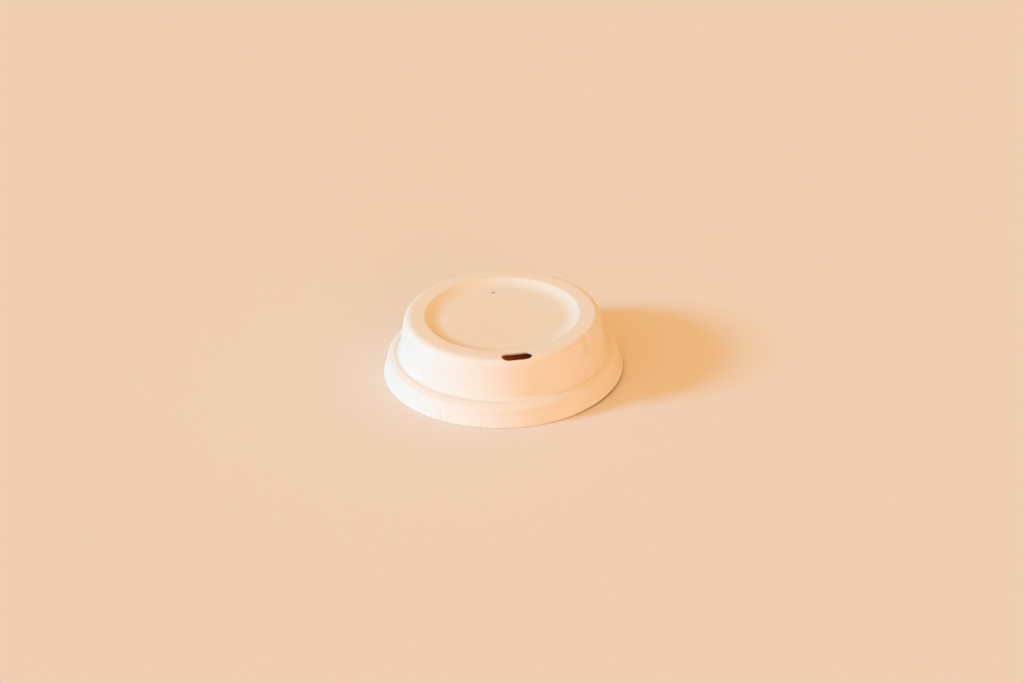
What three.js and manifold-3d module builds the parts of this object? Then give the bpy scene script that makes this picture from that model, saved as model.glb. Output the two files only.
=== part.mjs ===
// Sip lid of pressed plant fibre for a hot cup, one piece, in millimetres.
// +Z is up, the lip edge stands on z = 0, the lid's axis is Z and the sip slot lies toward -Y.
import * as THREE from 'three';
import { mergeVertices } from 'three/addons/utils/BufferGeometryUtils.js';
import Module from 'manifold-3d';

// Overall height and wall
const lidHeight = 24.5;
const wall = 0.8;

// Rolled rim of the cup; every radius of the lid follows from it
const cupRimRadius = 45;

// Bead inside the skirt that grips under the rolled rim
const beadGrip = 0.2;
const beadHeight = 4.4;
const beadHalfHeight = 0.9;
const beadFillet = 0.4;

// Flared skirt: how far its lip, waist and crown reach past the rolled rim
const lipReach = 2.5;
const waistReach = 1.0;
const waistHeight = 4.7;
const waistFillet = 1.0;
const crownReach = 0.6;
const crownHeight = 7.6;
const crownFillet = 1.2;
const lidRadius = cupRimRadius + lipReach;
const waistRadius = cupRimRadius + waistReach;
const crownRadius = cupRimRadius + crownReach;

// Ledge over the rolled rim
const crownWidth = 2.7;
const ledgeWidth = 1.8;
const ledgeHeight = 8.75;
const ledgeFillet = 1.0;
const ledgeRadius = crownRadius - crownWidth;

// Dome wall between the ledge and the rim
const domeFootHeight = 9.0;
const domeFootFillet = 0.5;
const domeTaper = 2.75;
const shoulderFillet = 3.05;
const domeFootRadius = ledgeRadius - ledgeWidth;
const shoulderRadius = domeFootRadius - domeTaper;

// Sunken top inside the flat rim
const rimWidth = 7.85;
const rimInnerFillet = 1.1;
const recessSlopeWidth = 5.8;
const recessDepth = 2.0;
const recessFloorFillet = 2.2;
const rimInnerRadius = shoulderRadius - rimWidth;
const recessFloorRadius = rimInnerRadius - recessSlopeWidth;

// Sip slot, bent along the rim
const slotInset = 3.35;
const slotLength = 11.9;
const slotWidth = 4.9;
const slotPathRadius = shoulderRadius - slotInset;

// Vent hole in the sunken floor, opposite the sip slot
const ventRadius = 0.65;
const ventInset = 3.0;
const ventDistance = recessFloorRadius - ventInset;

// Shallow dent that a fingertip pressed in the dome wall, turned from the slot toward +X
const dentTurn = 50 * Math.PI / 180;
const dentHeight = 19.0;
const dentDepth = 0.65;
const fingerRadius = 13;

// How finely curves are divided
const turnSegments = 80;
const arcStep = 0.5;
const cutLength = 8;

const wasm = await Module();
wasm.setup();

// A solid from a closed three.js geometry, with only its positions kept
function solidOf(geometry) {
  const bare = geometry.clone();
  bare.deleteAttribute('normal');
  bare.deleteAttribute('uv');
  const merged = mergeVertices(bare, 1e-5);
  return new wasm.Manifold(new wasm.Mesh({
    numProp: 3,
    vertProperties: new Float32Array(merged.attributes.position.array),
    triVerts: new Uint32Array(merged.index.array),
  }));
}

// The three.js geometry of a solid
function geometryOf(solid) {
  const mesh = solid.getMesh();
  const geometry = new THREE.BufferGeometry();
  geometry.setAttribute('position', new THREE.BufferAttribute(mesh.vertProperties, 3));
  geometry.setIndex(new THREE.BufferAttribute(mesh.triVerts, 1));
  geometry.computeVertexNormals();
  return geometry;
}

// The outer face as corners from the axis to the lip edge, each with its fillet radius
function outerCorners() {
  const floorHeight = lidHeight - recessDepth;
  return [
    { at: new THREE.Vector2(0, floorHeight), fillet: 0 },
    { at: new THREE.Vector2(recessFloorRadius, floorHeight), fillet: recessFloorFillet },
    { at: new THREE.Vector2(rimInnerRadius, lidHeight), fillet: rimInnerFillet },
    { at: new THREE.Vector2(shoulderRadius, lidHeight), fillet: shoulderFillet },
    { at: new THREE.Vector2(domeFootRadius, domeFootHeight), fillet: domeFootFillet },
    { at: new THREE.Vector2(ledgeRadius, ledgeHeight), fillet: ledgeFillet },
    { at: new THREE.Vector2(crownRadius, crownHeight), fillet: crownFillet },
    { at: new THREE.Vector2(waistRadius, waistHeight), fillet: waistFillet },
    { at: new THREE.Vector2(lidRadius, 0), fillet: 0 },
  ];
}

// Unit normal, out of the lid, of the straight run from one corner to the next
function outwardNormal(from, to) {
  const run = to.clone().sub(from).normalize();
  return new THREE.Vector2(-run.y, run.x);
}

// The inner face: every straight run moved in by the wall, every fillet kept concentric
function innerCorners(corners) {
  const last = corners.length - 1;
  return corners.map((corner, i) => {
    if (i === 0) {
      return { at: new THREE.Vector2(0, corner.at.y - wall), fillet: 0 };
    }
    const before = outwardNormal(corners[i - 1].at, corner.at);
    if (i === last) {
      return { at: new THREE.Vector2(corner.at.x - wall / before.x, corner.at.y), fillet: 0 };
    }
    const after = outwardNormal(corner.at, corners[i + 1].at);
    const shift = before.clone().add(after).multiplyScalar(-wall / (1 + before.dot(after)));
    const turnsDown = before.cross(after) < 0;
    const fillet = turnsDown ? Math.max(corner.fillet - wall, 0.3) : corner.fillet + wall;
    return { at: corner.at.clone().add(shift), fillet };
  });
}

// Corner on the straight run between two corners, at a height
function cornerBetween(above, below, height) {
  const share = (above.at.y - height) / (above.at.y - below.at.y);
  return { at: above.at.clone().lerp(below.at, share), fillet: beadFillet };
}

// The inner waist corner gives way to a bead: its crest lies just inside the rolled rim's edge
function withGripBead(corners) {
  const waist = corners.length - 2;
  const [above, corner, below] = corners.slice(waist - 1);
  const crestRadius = cupRimRadius - beadGrip;
  const crest = { at: new THREE.Vector2(crestRadius, beadHeight), fillet: beadFillet };
  const pocket = cornerBetween(above, corner, beadHeight + beadHalfHeight);
  const leadIn = cornerBetween(corner, below, beadHeight - beadHalfHeight);
  return [...corners.slice(0, waist), pocket, crest, leadIn, below];
}

// Profile points with an arc in place of every filleted corner
function roundedProfile(corners) {
  const points = [corners[0].at.clone()];
  for (let i = 1; i < corners.length - 1; i += 1) {
    const corner = corners[i].at;
    const radius = corners[i].fillet;
    const back = corners[i - 1].at.clone().sub(corner).normalize();
    const ahead = corners[i + 1].at.clone().sub(corner).normalize();
    const half = Math.acos(back.dot(ahead)) / 2;
    const middle = back.clone().add(ahead).normalize();
    const centre = corner.clone().addScaledVector(middle, radius / Math.sin(half));
    const start = corner.clone().addScaledVector(back, radius / Math.tan(half)).sub(centre);
    const sweep = Math.sign(back.cross(ahead)) * (2 * half - Math.PI);
    const count = Math.max(2, Math.ceil(Math.abs(sweep) / arcStep));
    for (let k = 0; k <= count; k += 1) {
      const spoke = start.clone().rotateAround(new THREE.Vector2(0, 0), sweep * k / count);
      points.push(centre.clone().add(spoke));
    }
  }
  points.push(corners[corners.length - 1].at.clone());
  return points;
}

// Body turned about Z under a profile that runs from the axis to the floor plane
function turnedSolid(profile, floorHeight) {
  const edge = profile[profile.length - 1];
  const closed = [new THREE.Vector2(0, floorHeight), new THREE.Vector2(edge.x, floorHeight)];
  closed.push(...profile.slice(0, -1).reverse());
  if (floorHeight < edge.y) {
    closed.splice(2, 0, edge.clone());
  }
  const geometry = new THREE.LatheGeometry(closed, turnSegments);
  geometry.rotateX(Math.PI / 2);
  return solidOf(geometry);
}

// Fingertip laid level against the dome wall; more radius gives the dent's inner face
function fingertip(extraRadius) {
  const tilt = Math.atan2(domeFootRadius - shoulderRadius, lidHeight - domeFootHeight);
  const wallRadius = shoulderRadius + (lidHeight - dentHeight) * Math.tan(tilt);
  const reach = fingerRadius - dentDepth;
  const radius = fingerRadius + extraRadius;
  const geometry = new THREE.CylinderGeometry(radius, radius, 2 * fingerRadius, 60);
  geometry.rotateZ(Math.PI / 2);
  geometry.translate(0, -wallRadius - reach * Math.cos(tilt), dentHeight + reach * Math.sin(tilt));
  geometry.rotateZ(dentTurn);
  return solidOf(geometry);
}

// The pressed shell: one fingertip dents both faces, so the wall keeps its thickness there
function shell() {
  const corners = outerCorners();
  const outside = turnedSolid(roundedProfile(corners), 0);
  const inside = turnedSolid(roundedProfile(withGripBead(innerCorners(corners))), -1);
  const hollow = inside.subtract(fingertip(wall));
  return outside.subtract(fingertip(0)).subtract(hollow);
}

// Cutter of the sip slot: a strip along the rim's arc with round ends, pushed through the rim
function slotCutter() {
  const end = slotWidth / 2;
  const halfTurn = (slotLength / 2 - end) / slotPathRadius;
  const middle = -Math.PI / 2;
  const outline = new THREE.Shape();
  const tip = (turn) => new THREE.Vector2(Math.cos(middle + turn), Math.sin(middle + turn));
  const right = tip(halfTurn).multiplyScalar(slotPathRadius);
  const left = tip(-halfTurn).multiplyScalar(slotPathRadius);
  const outer = slotPathRadius + end;
  const inner = slotPathRadius - end;
  outline.absarc(0, 0, outer, middle - halfTurn, middle + halfTurn, false);
  outline.absarc(right.x, right.y, end, middle + halfTurn, middle + halfTurn + Math.PI, false);
  outline.absarc(0, 0, inner, middle + halfTurn, middle - halfTurn, true);
  outline.absarc(left.x, left.y, end, middle - halfTurn + Math.PI, middle - halfTurn + 2 * Math.PI, false);
  const geometry = new THREE.ExtrudeGeometry(outline, {
    depth: cutLength,
    bevelEnabled: false,
    curveSegments: 8,
  });
  geometry.translate(0, 0, lidHeight - cutLength + 1);
  return solidOf(geometry);
}

// Cutter of the round vent hole
function ventCutter() {
  const geometry = new THREE.CylinderGeometry(ventRadius, ventRadius, cutLength, 20);
  geometry.rotateX(Math.PI / 2);
  geometry.translate(0, ventDistance, lidHeight - recessDepth - wall);
  return solidOf(geometry);
}

// The whole lid
function lid() {
  const solid = shell().subtract(slotCutter()).subtract(ventCutter());
  const material = new THREE.MeshStandardMaterial({
    color: 0xf2e3cf,
    roughness: 0.85,
    metalness: 0,
  });
  const mesh = new THREE.Mesh(geometryOf(solid), material);
  mesh.name = 'lid';
  return mesh;
}

const cupLid = new THREE.Group();
cupLid.name = 'coffee_cup_lid';
cupLid.add(lid());

export default cupLid;
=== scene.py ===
# %% [markdown]
# # A coffee cup lid of pressed plant fibre
# The lid is one pressed sheet, about 95 mm wide and 24.5 mm high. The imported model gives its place
# and size. This lesson makes the finer lid that is shown: smooth turned faces, rounded cut edges,
# small marks of the press and a fibre finish. It then sets up the table, the camera and the lamps.

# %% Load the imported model
import math

import bmesh
import bpy
from mathutils import Matrix, Quaternion, Vector, noise


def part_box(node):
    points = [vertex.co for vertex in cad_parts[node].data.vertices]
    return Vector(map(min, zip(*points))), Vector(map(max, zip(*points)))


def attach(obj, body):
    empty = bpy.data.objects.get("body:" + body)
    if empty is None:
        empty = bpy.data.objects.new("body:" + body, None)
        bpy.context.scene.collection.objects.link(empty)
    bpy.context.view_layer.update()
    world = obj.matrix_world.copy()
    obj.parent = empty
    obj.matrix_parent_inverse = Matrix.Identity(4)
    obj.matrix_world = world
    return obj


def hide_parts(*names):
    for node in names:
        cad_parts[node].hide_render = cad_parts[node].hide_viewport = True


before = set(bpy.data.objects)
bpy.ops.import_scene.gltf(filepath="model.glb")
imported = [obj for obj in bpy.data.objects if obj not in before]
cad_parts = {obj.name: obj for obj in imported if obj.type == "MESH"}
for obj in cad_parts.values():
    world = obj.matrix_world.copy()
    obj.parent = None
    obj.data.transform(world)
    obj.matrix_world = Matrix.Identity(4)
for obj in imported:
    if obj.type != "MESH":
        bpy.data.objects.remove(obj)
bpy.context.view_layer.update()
lid_low, lid_high = [Vector(corner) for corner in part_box("lid")]
print("packed lid in metres:", [round(side, 4) for side in lid_high - lid_low])

# %% [markdown]
# ## The section of the lid
# A pressed lid has the same section all the way round, so its outer face is one line turned about
# the axis. It could be drawn point by point. It is kept as a few corners instead, each with the
# radius of its fillet, because a press tool is drawn the same way. A helper works out the arcs, so
# every fold is soft and one number changes it.

# %% The corners of the outer face
MM = 0.001  # metres in a millimetre

# These are in millimetres
FLOOR_HEIGHT = 22.5
RIM_HEIGHT = 24.5
SHOULDER_RADIUS = 38.35
FOOT_RADIUS = 41.1
FOOT_HEIGHT = 8.6
SECTION = [
    # radius, height, fillet
    (0.0, FLOOR_HEIGHT, 0.0),               # middle of the sunken floor
    (26.9, FLOOR_HEIGHT, 11.0),             # where the floor turns up
    (30.4, RIM_HEIGHT, 0.9),                # inner edge of the rim
    (SHOULDER_RADIUS, RIM_HEIGHT, 3.05),    # shoulder
    (FOOT_RADIUS, FOOT_HEIGHT, 1.4),        # channel at the dome's foot
    (42.9, 8.85, 0.8),                      # ledge
    (45.6, 7.6, 1.8),                       # crown of the skirt
    (46.0, 4.7, 1.0),                       # waist
    (47.48, 0.35, 0.3),                     # lip, where it starts to roll under
    (47.22, 0.0, 0.0),                      # edge that the lid stands on
]

# %% [markdown]
# ## Arcs between the corners
# An arc that touches both runs at a corner has its centre on the line that halves the angle there.
# Long straight runs are divided as well, because the marks made later move points of these faces.

# %% Round the corners and divide the runs
ARC_STEP = 0.16  # radians between points on an arc
LONGEST_RUN = 1.0 * MM


def rounded(corners, arc_step):
    """The corners joined by straight runs, with an arc in place of every fillet."""
    points = [Vector(corners[0][:2]) * MM]
    for before, corner, after in zip(corners, corners[1:], corners[2:]):
        at = Vector(corner[:2]) * MM
        back = (Vector(before[:2]) * MM - at).normalized()
        ahead = (Vector(after[:2]) * MM - at).normalized()
        half = back.angle(ahead) / 2
        radius = corner[2] * MM
        centre = at + (back + ahead).normalized() * radius / math.sin(half)
        start = at + back * radius / math.tan(half) - centre
        turn = math.copysign(math.pi - 2 * half, -back.cross(ahead))
        steps = max(2, math.ceil(abs(turn) / arc_step))
        for k in range(steps + 1):
            points.append(centre + Matrix.Rotation(turn * k / steps, 2) @ start)
    points.append(Vector(corners[-1][:2]) * MM)
    return points


def spaced(points, longest):
    """The same line with long runs divided, so that the turned faces stay about square."""
    line = [points[0]]
    for a, b in zip(points, points[1:]):
        steps = max(1, math.ceil((b - a).length / longest))
        line += [a.lerp(b, k / steps) for k in range(1, steps + 1)]
    return line


section = spaced(rounded(SECTION, ARC_STEP), LONGEST_RUN)
print("points in the section:", len(section))

# %% [markdown]
# ## Turn the section into a sheet
# Spinning the open line gives the outer face as one thin sheet. The wall comes much later, from one
# modifier, so every press mark made in the sheet shows on both faces, as on a real pressed lid.

# %% Spin the section about the axis
TURNS = 256
SAME_POINT = 0.001 * MM

sheet = bmesh.new()
line = [sheet.verts.new((point.x, 0, point.y)) for point in section]
runs = [sheet.edges.new(pair) for pair in zip(line, line[1:])]
bmesh.ops.spin(
    sheet, geom=line + runs, cent=(0, 0, 0), axis=(0, 0, 1), dvec=(0, 0, 0),
    angle=2 * math.pi, steps=TURNS, use_merge=True,
)
bmesh.ops.remove_doubles(sheet, verts=sheet.verts, dist=SAME_POINT)
bmesh.ops.recalc_face_normals(sheet, faces=sheet.faces)
print("faces in the turned sheet:", len(sheet.faces))

# %% [markdown]
# ## Places on the lid
# The slot is bent along the rim, so it is easiest to measure in two directions that bend with it:
# along the rim's arc and across it. One helper gives those two distances, one turns them back into
# a place, and one gives the height of the outer face, so that a point moved sideways stays on it.

# %% Helpers that measure along the rim
SLOT_ARC = 35.0 * MM  # radius of the arc through the middle of the slot


def around(place, arc_radius):
    """How far a place lies along the arc from the slot's middle, and how far outside the arc."""
    turn = math.atan2(place.x, -place.y)
    return Vector((turn * arc_radius, place.xy.length - arc_radius))


def on_arc(flat, arc_radius):
    """The place, seen from above, of a point given along and across the arc."""
    turn = flat.x / arc_radius
    reach = flat.y + arc_radius
    return Vector((math.sin(turn) * reach, -math.cos(turn) * reach))


def face_height(radius):
    """Height of the outer face at a radius on the top of the lid."""
    for a, b in zip(section, section[1:]):
        if a.x <= radius <= b.x:
            return a.y + (b.y - a.y) * (radius - a.x) / max(b.x - a.x, 1e-9)
    return section[-1].y


print("rim height at the slot:", round(face_height(SLOT_ARC) / MM, 2), "mm")

# %% [markdown]
# ## Finer faces where small things are cut
# The turned faces are about a millimetre wide, which is too coarse round a small hole. A boolean
# cut would leave long thin faces there. So the faces near the hole are divided, those that reach it
# are taken out, and the border is drawn in to the exact edge.

# %% Divide the faces near a place, and cut a hole
CLEARANCE = 0.08 * MM     # faces closer than this to the hole are taken out
BORDER_REACH = 2.5 * MM   # the border lies within this distance of the hole


def refine(mesh, is_near, cuts):
    """Divides the edges whose two ends are near."""
    edges = [e for e in mesh.edges if all(is_near(v.co) for v in e.verts)]
    bmesh.ops.subdivide_edges(mesh, edges=edges, cuts=cuts, use_grid_fill=True)
    print("divided", len(edges), "edges")


def cut_hole(mesh, distance, edge_place):
    """Takes out the faces that reach the hole, then draws the border in to the hole's edge."""
    reached = [f for f in mesh.faces if min(distance(v.co) for v in f.verts) < CLEARANCE]
    bmesh.ops.delete(mesh, geom=reached, context="FACES")
    border = [
        e for e in mesh.edges
        if e.is_boundary and max(distance(v.co) for v in e.verts) < BORDER_REACH
    ]
    for drawn in bmesh.ops.extrude_edge_only(mesh, edges=border)["geom"]:
        if isinstance(drawn, bmesh.types.BMVert):
            drawn.co = edge_place(drawn.co)
    return len(border)


# %% [markdown]
# ## The sip slot
# The slot is punched through the pressed rim. Its outline is a strip with round ends that follows
# the rim. Pulp tears a little as it is punched, so noise moves the edge by up to a tenth of a
# millimetre.

# %% Cut the sip slot
SLOT_LENGTH = 11.9 * MM
SLOT_WIDTH = 4.9 * MM
SLOT_END = SLOT_WIDTH / 2
SLOT_TEARS = [(1400, 0.07 * MM), (4000, 0.03 * MM)]  # repeats for each metre, depth
SLOT_NEAR = 2.2 * MM
TOP_OF_LID = 20 * MM      # only the top of the lid lies above this height
FAR_AWAY = 1.0            # metres, for places on another side of the lid


def slot_spine(flat):
    """Nearest point of the slot's middle line."""
    reach = SLOT_LENGTH / 2 - SLOT_END
    return Vector((max(-reach, min(reach, flat.x)), 0))


def slot_distance(place):
    """Distance from a place to the slot's edge, below nought inside it."""
    if place.y > 0 or place.z < TOP_OF_LID:
        return FAR_AWAY
    flat = around(place, SLOT_ARC)
    return (flat - slot_spine(flat)).length - SLOT_END


def slot_edge(place):
    """The nearest place on the slot's torn edge, laid on the outer face."""
    flat = around(place, SLOT_ARC)
    spine = slot_spine(flat)
    tear = sum(noise.noise(place * scale) * depth for scale, depth in SLOT_TEARS)
    seen = on_arc(spine + (flat - spine).normalized() * (SLOT_END + tear), SLOT_ARC)
    return Vector((seen.x, seen.y, face_height(seen.length)))


refine(sheet, lambda place: slot_distance(place) < SLOT_NEAR, 2)
print("edges round the slot:", cut_hole(sheet, slot_distance, slot_edge))

# %% [markdown]
# ## The vent hole
# A small round hole opposite the slot lets air in while someone drinks. It is cut the same way. It
# is much smaller than the slot, so the faces near it are divided twice.

# %% Cut the vent hole
VENT_PLACE = Vector((0, 21.7 * MM))
VENT_RADIUS = 0.78 * MM
VENT_TEAR = 0.05 * MM
VENT_TEAR_SCALE = 5000    # repeats for each metre
VENT_NEAR = [2.4 * MM, 1.2 * MM]


def vent_distance(place):
    """Distance from a place to the vent's edge, below nought inside it."""
    if place.z < TOP_OF_LID:
        return FAR_AWAY
    return (place.xy - VENT_PLACE).length - VENT_RADIUS


def vent_edge(place):
    """The nearest place on the vent's edge."""
    out = (place.xy - VENT_PLACE).normalized()
    tear = noise.noise(place * VENT_TEAR_SCALE) * VENT_TEAR
    seen = VENT_PLACE + out * (VENT_RADIUS + tear)
    return Vector((seen.x, seen.y, FLOOR_HEIGHT * MM))


for near in VENT_NEAR:
    refine(sheet, lambda place: vent_distance(place) < near, 1)
print("edges round the vent:", cut_hole(sheet, vent_distance, vent_edge))

# %% [markdown]
# ## The dent of a fingertip
# Someone's fingertip has pushed a shallow dent in the dome wall, right of the slot. It could be
# sculpted by hand. Here the fingertip is a level cylinder laid against the wall, and a point goes
# in as far as the cylinder reaches past it. The wall is pinched on one side of the dent and swells
# a little on the other, which two soft round marks give.

# %% How far the fingertip pushes a place
DENT_TURN = math.radians(55)
DENT_HEIGHT = 19.8 * MM
DENT_DEPTH = 1.05 * MM
FINGER_RADIUS = 13.0 * MM
SOFT_BORDER = 0.03 * MM
WALL_TILT = math.atan2(FOOT_RADIUS - SHOULDER_RADIUS, RIM_HEIGHT - FOOT_HEIGHT)
DOME_ARC = 39 * MM        # about the radius of the dome wall at the dent
DOME_LOW = 10 * MM        # soft marks stay above this height
DOME_INSIDE = 36 * MM     # and outside this radius
BUCKLES = [
    # turn from the slot in degrees, then height, depth, half width, half height in millimetres
    (50.5, 22.2, 0.75, 1.9, 2.0),       # pinch
    (43.5, 19.0, -0.45, 2.4, 2.8),      # swelling
]


def finger_push(place):
    """How deep the fingertip reaches past a place of the dome wall."""
    wall_radius = SHOULDER_RADIUS * MM + (RIM_HEIGHT * MM - DENT_HEIGHT) * math.tan(WALL_TILT)
    reach = FINGER_RADIUS - DENT_DEPTH
    toward_dent = Vector((math.sin(DENT_TURN), -math.cos(DENT_TURN)))
    out = wall_radius + reach * math.cos(WALL_TILT) - place.xy.dot(toward_dent)
    up = DENT_HEIGHT + reach * math.sin(WALL_TILT) - place.z
    deep = FINGER_RADIUS - math.hypot(out, up)
    return math.hypot(deep, SOFT_BORDER) - SOFT_BORDER if deep > 0 else 0.0


def soft_mark(place, turn, height, depth, half_wide, half_high):
    """A soft round mark of the dome wall, inward where its depth is above nought."""
    if place.z < DOME_LOW or place.xy.length < DOME_INSIDE:
        return 0.0
    along = (around(place, DOME_ARC).x - math.radians(turn) * DOME_ARC) / (half_wide * MM)
    up = (place.z - height * MM) / (half_high * MM)
    return depth * MM * math.exp(-(along ** 2) - up ** 2)


def buckle_push(place):
    """The pinch beside the fingertip's dent, and the low swelling that it pushed up."""
    return sum(soft_mark(place, *mark) for mark in BUCKLES)


deepest = max(finger_push(vert.co) for vert in sheet.verts)
print("deepest push of the fingertip:", round(deepest / MM, 2), "mm")

# %% [markdown]
# ## The creases of the lip
# The lip has two short slanting creases, where the wet sheet folded as it was pressed. Each is a
# narrow soft groove that fades out at both ends. The faces near a crease are divided first.

# %% How far a crease goes in at a place
EDGE_RADIUS = 47.5 * MM
CREASE_SLANT = 0.35       # sideways for each unit of height
CREASE_MIDDLE = 2 * MM    # height at which a crease has its stated turn
CREASE_TOP = 6 * MM
CREASE_NEAR = 2.6 * MM
CREASES = [
    # turn from the slot in degrees, then low end, high end, depth, half width in millimetres
    (-39.5, 0.1, 4.6, 0.30, 0.36),
    (-19.5, 0.1, 3.0, 0.22, 0.26),
]


def clamped(value):
    """A value kept between 0 and 1."""
    return min(1.0, max(0.0, value))


def past_crease(place, turn):
    """How far a place lies along the lip from a crease at a turn in degrees."""
    return around(place, EDGE_RADIUS).x - math.radians(turn) * EDGE_RADIUS


def crease_push(place):
    """Depth of the lip's creases at a place."""
    push = 0.0
    for turn, low, high, depth, half in CREASES:
        slant = past_crease(place, turn) + (place.z - CREASE_MIDDLE) * CREASE_SLANT
        fade = clamped((high * MM - place.z) / MM) * clamped(place.z / MM - low)
        push += depth * MM * fade * math.exp(-((slant / (half * MM)) ** 2))
    return push


def near_crease(place):
    """Whether a place is close to a crease of the lip."""
    nearest = min(abs(past_crease(place, crease[0])) for crease in CREASES)
    return place.z < CREASE_TOP and nearest < CREASE_NEAR


refine(sheet, near_crease, 2)
deepest = max(crease_push(vert.co) for vert in sheet.verts)
print("deepest crease:", round(deepest / MM, 2), "mm")

# %% [markdown]
# ## Slow unevenness and a lifted lip
# No pressed lid is quite round or flat, so slow noise pushes the sheet in by up to a tenth of a
# millimetre. The lip also stands about a millimetre off the table at the right front, and less at
# the right back. All pushes are worked out before any point moves, so that one mark doesn't shift
# the next.

# %% Move the points of the sheet
UNEVEN_DEPTH = 0.11 * MM
LIP_LIFT = 1.2 * MM
LIFT_FADE = 3 * MM        # the lift fades out up to this height
ON_TABLE = 0.01 * MM      # points below this height stay on the table


def uneven_push(place):
    """The slow unevenness of pressed pulp, always inward."""
    return UNEVEN_DEPTH * (0.5 + 0.35 * noise.noise(place * 70) + 0.15 * noise.noise(place * 260))


def lip_lift(place):
    """How far the lip stands off the table at a place, most at the right front."""
    turn = math.atan2(place.x, -place.y)
    arch = (0.5 - 0.5 * math.cos(3 * turn)) * max(0.0, math.sin(turn))
    return LIP_LIFT * arch * max(0.0, 1 - place.z / LIFT_FADE)


def pushed(vert):
    """The place of a point after every push along its normal."""
    place = vert.co
    push = finger_push(place) + buckle_push(place) + crease_push(place) + uneven_push(place)
    return place - vert.normal * push


sheet.normal_update()
heights = [vert.co.z for vert in sheet.verts]
moved = [pushed(vert) for vert in sheet.verts]
for vert, place in zip(sheet.verts, moved):
    height = 0.0 if vert.co.z < ON_TABLE else place.z
    vert.co = Vector((place.x, place.y, height + lip_lift(vert.co)))
print("points of the lid moved:", len(moved))

# %% [markdown]
# ## The finer lid as an object
# The sheet becomes a mesh object with smooth faces. It rides on the imported model's one body and
# stands for its lid, which is hidden. The fibre finish is given to it further on.

# %% Make the object
lid_mesh = bpy.data.meshes.new("pressed_lid")
for face in sheet.faces:
    face.smooth = True
sheet.to_mesh(lid_mesh)
sheet.free()
pressed_lid = bpy.data.objects.new("pressed_lid", lid_mesh)
bpy.context.collection.objects.link(pressed_lid)

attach(pressed_lid, "root")
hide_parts("lid")
print("points in the lid's mesh:", len(lid_mesh.vertices))

# %% [markdown]
# ## How thick the wall is
# The wall is 0.8 mm thick almost everywhere. It is thicker at the bead inside the skirt, which
# grips under the cup's rolled rim. It is thinner at the lip's edge, because the roll there is
# smaller than the wall, and an even wall would fold through itself. A vertex group holds how far
# each point lies between the two, by the height that it had before the lip was lifted.

# %% A vertex group for the thickness
WALL = 0.8 * MM
BEAD_WALL = 1.25 * MM
BEAD_HEIGHT = 4.6 * MM
BEAD_HALF = 0.75 * MM
LIP_WALL = 0.3 * MM
LIP_FADE = 1.2 * MM       # the wall is thinner up to this height


def wall_share(height):
    """Share of the way from the lip's thin wall to the bead's thick one, at a height."""
    bead = (BEAD_WALL - WALL) * math.exp(-(((height - BEAD_HEIGHT) / BEAD_HALF) ** 2))
    pinch = (WALL - LIP_WALL) * max(0.0, 1 - height / LIP_FADE)
    return (WALL + bead - pinch - LIP_WALL) / (BEAD_WALL - LIP_WALL)


thickness = pressed_lid.vertex_groups.new(name="thickness")
for vertex, height in zip(lid_mesh.vertices, heights):
    thickness.add([vertex.index], wall_share(height), "REPLACE")
print("wall share at mid height:", round(wall_share(RIM_HEIGHT * MM / 2), 2))

# %% [markdown]
# ## The wall and its rounded edges
# Solidify gives the sheet its wall on the inside. The lip's face rolls under a little, so its edge
# shows as a thin dark line over the table. Bevel then rounds the cut edges of the lip, the slot and
# the vent. Both stay live, so that the sheet can still be changed.

# %% Give the sheet its wall
EDGE_ROUNDING = 0.14 * MM

wall = pressed_lid.modifiers.new("wall", "SOLIDIFY")
wall.thickness = BEAD_WALL
wall.offset = -1
wall.use_even_offset = True
wall.vertex_group = "thickness"
wall.thickness_vertex_group = LIP_WALL / BEAD_WALL

edges = pressed_lid.modifiers.new("cut_edges", "BEVEL")
edges.width = EDGE_ROUNDING
edges.segments = 2
edges.limit_method = "ANGLE"
edges.angle_limit = math.radians(45)

finished_lid = pressed_lid.evaluated_get(bpy.context.evaluated_depsgraph_get())
finished_mesh = finished_lid.to_mesh()
finished_mesh.calc_loop_triangles()
print("triangles of the finished lid:", len(finished_mesh.loop_triangles))
finished_lid.to_mesh_clear()

# %% [markdown]
# ## Shader maths in plain expressions
# A fibre finish needs some arithmetic on noise. Wrapping a socket in a small class lets the script
# write that as sums, and each sign adds its Math node. One method makes any other node.

# %% A small class for shader sockets
class Value:
    """Something that varies over the surface, as an output socket of a material."""

    def __init__(self, tree, socket):
        self.tree = tree
        self.socket = socket

    def node(self, kind, settings=None, **inputs):
        """Any node of this material: its settings first, then values or links of its sockets.

        A socket is given by its name, or by an underscore and its number.
        """
        made = self.tree.nodes.new(kind)
        for name, setting in (settings or {}).items():
            setattr(made, name, setting)
        for name, given in inputs.items():
            key = int(name[1:]) if name[0] == "_" else name.replace("_", " ")
            if isinstance(given, Value):
                self.tree.links.new(given.socket, made.inputs[key])
            else:
                made.inputs[key].default_value = given
        return made

    def maths(self, operation, first, second):
        """A Math node on two numbers or values."""
        made = self.node("ShaderNodeMath", {"operation": operation}, _0=first, _1=second)
        return Value(self.tree, made.outputs[0])

    def __add__(self, other): return self.maths("ADD", self, other)
    def __radd__(self, other): return self.maths("ADD", other, self)
    def __mul__(self, other): return self.maths("MULTIPLY", self, other)
    def __rmul__(self, other): return self.maths("MULTIPLY", other, self)


def new_material(name):
    """An empty node material with its Principled shader."""
    material = bpy.data.materials.new(name)
    material.use_nodes = True
    return material, material.node_tree.nodes["Principled BSDF"]


fibre, fibre_shader = new_material("pressed_fibre")
coordinates = fibre.node_tree.nodes.new("ShaderNodeTexCoord")
fibre_place = Value(fibre.node_tree, coordinates.outputs["Object"])
print("the fibre finish reads its place from:", fibre_place.socket.name)

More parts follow.
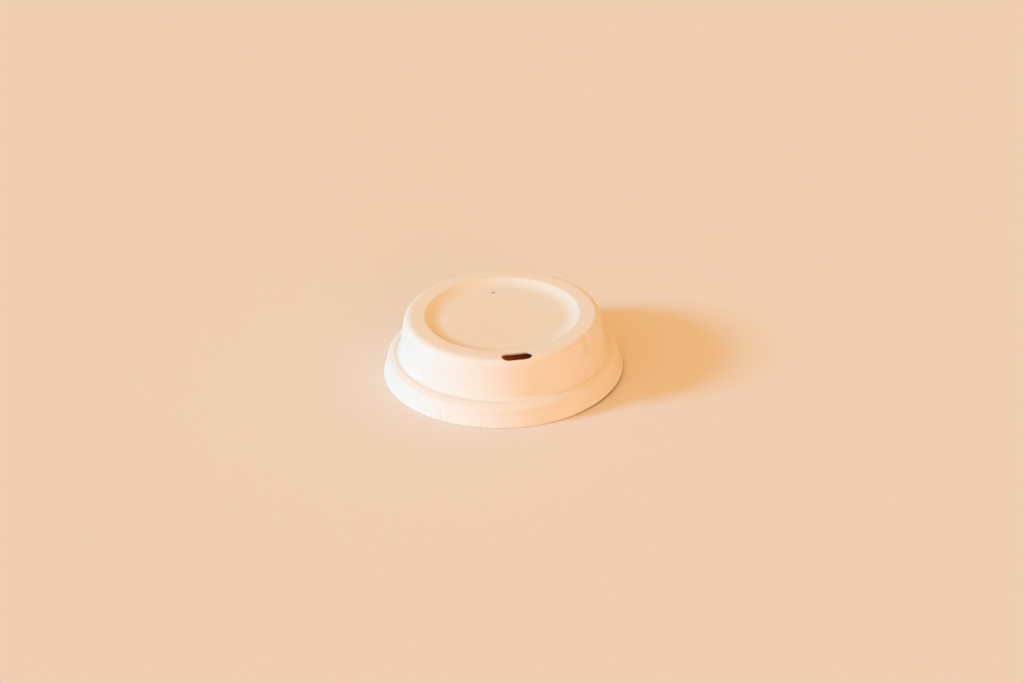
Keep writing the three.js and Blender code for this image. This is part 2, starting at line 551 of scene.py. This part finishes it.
# %% [markdown]
# ## Three sizes of fibre pattern
# Up close, pressed pulp shows three things: soft clouds where the sheet is thinner or thicker, a
# fine grain, and single short fibres. Noise at three scales gives them. The fibres come from noise
# pulled long in two directions, of which only the peaks are kept.

# %% Clouds, grain and fibres
CLOUD_SCALE = 90          # repeats for each metre
GRAIN_SCALE = 2600
FIBRE_SCALE = 1900
FIBRE_PEAKS = (0.60, 0.74)
FIBRE_LAYS = [
    # turn of the pattern in radians, and its scale along each side
    ((0.3, 0.2, 0.6), (1.0, 0.12, 1.0)),
    ((0.5, -0.4, -0.9), (0.12, 1.0, 1.0)),
]


def noise_value(where, scale, detail, roughness=0.55):
    """Noise from about 0 to 1 at a scale in repeats for each metre."""
    made = where.node("ShaderNodeTexNoise", {"noise_dimensions": "3D"},
                      Vector=where, Scale=scale, Detail=detail, Roughness=roughness)
    return Value(where.tree, made.outputs["Fac"])


def peaks(value, low, high):
    """Only the highest parts of a value, spread from 0 to 1."""
    made = value.node("ShaderNodeMapRange", {"clamp": True, "interpolation_type": "SMOOTHSTEP"},
                      Value=value, From_Min=low, From_Max=high)
    return Value(value.tree, made.outputs[0])


def fibre_layer(where, turn, stretch):
    """Short fibres that lie one way."""
    made = where.node("ShaderNodeMapping", Vector=where, Rotation=turn, Scale=stretch)
    pulled = Value(where.tree, made.outputs[0])
    return peaks(noise_value(pulled, FIBRE_SCALE, 2.0), *FIBRE_PEAKS)


clouds = noise_value(fibre_place, CLOUD_SCALE, 4.0)
grain = noise_value(fibre_place, GRAIN_SCALE, 4.0, 0.6)
fibres = fibre_layer(fibre_place, *FIBRE_LAYS[0]) + fibre_layer(fibre_place, *FIBRE_LAYS[1])
print("nodes in the pattern:", len(fibre.node_tree.nodes))

# %% [markdown]
# ## The fibre finish
# Pressed pulp is matt and a warm white. The clouds and fibres tint the colour a little, the grain
# changes how rough it is, and all three raise a low relief. A scanned texture would show more, but
# would repeat and would not follow the lid round its folds.

# %% Colour, roughness and relief of the pulp
PULP = (0.915, 0.790, 0.690, 1)
PULP_THIN = (0.905, 0.770, 0.660, 1)
PULP_FIBRE = (0.860, 0.700, 0.560, 1)
CLOUD_PEAKS = (0.35, 0.70)
FIBRE_TINT = 0.35
RELIEF_HEIGHT = 0.06 * MM
RELIEF_STRENGTH = 0.35


def mixed(amount, first, second):
    """Two colours mixed by an amount that varies."""
    made = amount.node("ShaderNodeMix", {"data_type": "RGBA"}, _0=amount, _6=first, _7=second)
    return Value(amount.tree, made.outputs[2])


def feed(output, name):
    """Links an output to a socket of the fibre's shader."""
    fibre.node_tree.links.new(output, fibre_shader.inputs[name])


cloudy = mixed(peaks(clouds, *CLOUD_PEAKS), PULP, PULP_THIN)
feed(mixed(fibres * FIBRE_TINT, cloudy, PULP_FIBRE).socket, "Base Color")
feed((0.80 + grain * 0.14).socket, "Roughness")
fibre_shader.inputs["Specular IOR Level"].default_value = 0.3

relief = grain * 0.5 + fibres * 0.35 + clouds * 1.2
bump = relief.node("ShaderNodeBump", Strength=RELIEF_STRENGTH, Distance=RELIEF_HEIGHT,
                   Height=relief)
feed(bump.outputs[0], "Normal")
lid_mesh.materials.append(fibre)
print("nodes in the fibre finish:", len(fibre.node_tree.nodes))

# %% [markdown]
# ## The table
# The lid stands on seamless pale paper, so one large plane is enough. It is stage, not part of the
# object. It lies a hair below the lid, so that the two never share a plane.

# %% Table of pale paper
PAPER = (0.905, 0.77, 0.68, 1)
TABLE_HALF = 4.0          # metres from the middle to an edge
TABLE_BELOW = 0.02 * MM

table_paper, paper_shader = new_material("table_paper")
paper_shader.inputs["Base Color"].default_value = PAPER
paper_shader.inputs["Roughness"].default_value = 0.95
paper_shader.inputs["Specular IOR Level"].default_value = 0.1

table_shape = bmesh.new()
bmesh.ops.create_grid(table_shape, x_segments=1, y_segments=1, size=TABLE_HALF)
bmesh.ops.translate(table_shape, vec=(0, 0, -TABLE_BELOW), verts=table_shape.verts)
table_mesh = bpy.data.meshes.new("table")
table_shape.to_mesh(table_mesh)
table_shape.free()
table_mesh.materials.append(table_paper)
table = bpy.data.objects.new("table", table_mesh)
bpy.context.collection.objects.link(table)
print("table of", 2 * TABLE_HALF, "metres")

# %% [markdown]
# ## The camera
# The camera stands where the photographer stood. Its distance, height and lens were worked out from
# the circles of the lid: how flat they look gives the height, and where they lie gives the aim.

# %% Camera at the photograph's angle
IMAGE = (1024, 683)       # pixels of the photograph
FOCAL = 2418.0            # focal length in the same pixels
DISTANCE = 0.960          # metres from the middle of the lip's edge
CAMERA_RISE = 0.5153      # radians above the table
CAMERA_TURN = math.radians(-8.65)
CAMERA_ROLL = 0.026       # radians
CENTRE_SEEN = (503.4, 367.3)  # pixel at which the middle of the lip's edge is seen
SENSOR = 36               # millimetres

toward_camera = Vector((math.sin(CAMERA_TURN), -math.cos(CAMERA_TURN), 0))
stand = toward_camera * math.cos(CAMERA_RISE) * DISTANCE
stand.z = math.sin(CAMERA_RISE) * DISTANCE
level = (-stand).to_track_quat("-Z", "Y") @ Quaternion((0, 0, 1), -CAMERA_ROLL)
off_middle = (CENTRE_SEEN[0] - IMAGE[0] / 2, IMAGE[1] / 2 - CENTRE_SEEN[1])
seen = Vector((*off_middle, -FOCAL)).normalized()

camera_data = bpy.data.cameras.new("camera")
camera_data.sensor_width = SENSOR
camera_data.lens = FOCAL / IMAGE[0] * SENSOR
camera_data.clip_start = 0.01
camera = bpy.data.objects.new("camera", camera_data)
camera.rotation_mode = "QUATERNION"
camera.rotation_quaternion = level @ seen.rotation_difference(Vector((0, 0, -1)))
camera.location = stand
bpy.context.collection.objects.link(camera)
bpy.context.scene.camera = camera
print("lens:", round(camera_data.lens, 1), "mm")

# %% [markdown]
# ## The lamps
# A low cool lamp far round to the left is the key, and throws the short soft shadow to the right. A
# broad patch of window sky stands beside it. Near the camera a warm bounce and a low pale card fill
# the front. Far lamps are used, because they light the whole table alike.

# %% Far lamps
LAMPS = [
    # name, turn and height in degrees, strength, spread in degrees, colour
    ("key", -79.5, 21.8, 3.0, 12, (0.07, 0.54, 0.96)),
    ("window_sky", -45, 35, 0.45, 60, (0.10, 0.58, 1.0)),
    ("warm_bounce", 14, 14, 0.33, 30, (1.0, 0.60, 0.25)),
    ("front_card", 16, 6, 0.44, 20, (0.45, 0.64, 0.92)),
]


def far_lamp(name, turn, height, strength, spread, colour):
    """A broad lamp far away, turned from the camera's side toward +X."""
    turned = CAMERA_TURN + math.radians(turn)
    rise = math.tan(math.radians(height))
    way = Vector((math.sin(turned), -math.cos(turned), rise)).normalized()
    data = bpy.data.lights.new(name, "SUN")
    data.energy = strength
    data.angle = math.radians(spread)
    data.color = colour
    lamp = bpy.data.objects.new(name, data)
    lamp.rotation_mode = "QUATERNION"
    lamp.rotation_quaternion = way.to_track_quat("Z", "Y")
    lamp.location = way * 1.5
    bpy.context.collection.objects.link(lamp)


for settings in LAMPS:
    far_lamp(*settings)
print("far lamps:", len(LAMPS))

# %% [markdown]
# ## Light inside the lid and all round
# A thin fibre wall lets a little light through, so the slot looks brown and not black. Subsurface
# scattering in the material only gave coloured fringes, so one very weak warm lamp under the lid
# stands for that light. Warm light also comes from all round, as in a room with orange paper.

# %% Lamp under the lid, and the world
INSIDE_STRENGTH = 0.00057
INSIDE_COLOUR = (1.0, 0.16, 0.0)
INSIDE_PLACE = (0, 4 * MM, 5 * MM)
INSIDE_SIZE = 5 * MM
ROOM_COLOUR = (1.0, 0.605, 0.225, 1)
ROOM_STRENGTH = 0.90

inside_data = bpy.data.lights.new("light_through_fibre", "POINT")
inside_data.energy = INSIDE_STRENGTH
inside_data.color = INSIDE_COLOUR
inside_data.shadow_soft_size = INSIDE_SIZE
inside = bpy.data.objects.new("light_through_fibre", inside_data)
inside.location = INSIDE_PLACE
bpy.context.collection.objects.link(inside)

world = bpy.data.worlds.new("studio")
world.use_nodes = True
room = world.node_tree.nodes["Background"]
room.inputs["Color"].default_value = ROOM_COLOUR
room.inputs["Strength"].default_value = ROOM_STRENGTH
bpy.context.scene.world = world
bpy.context.scene.view_settings.view_transform = "Standard"
print("strength of the room's light:", ROOM_STRENGTH)

# %% Update the scene
bpy.context.view_layer.update()
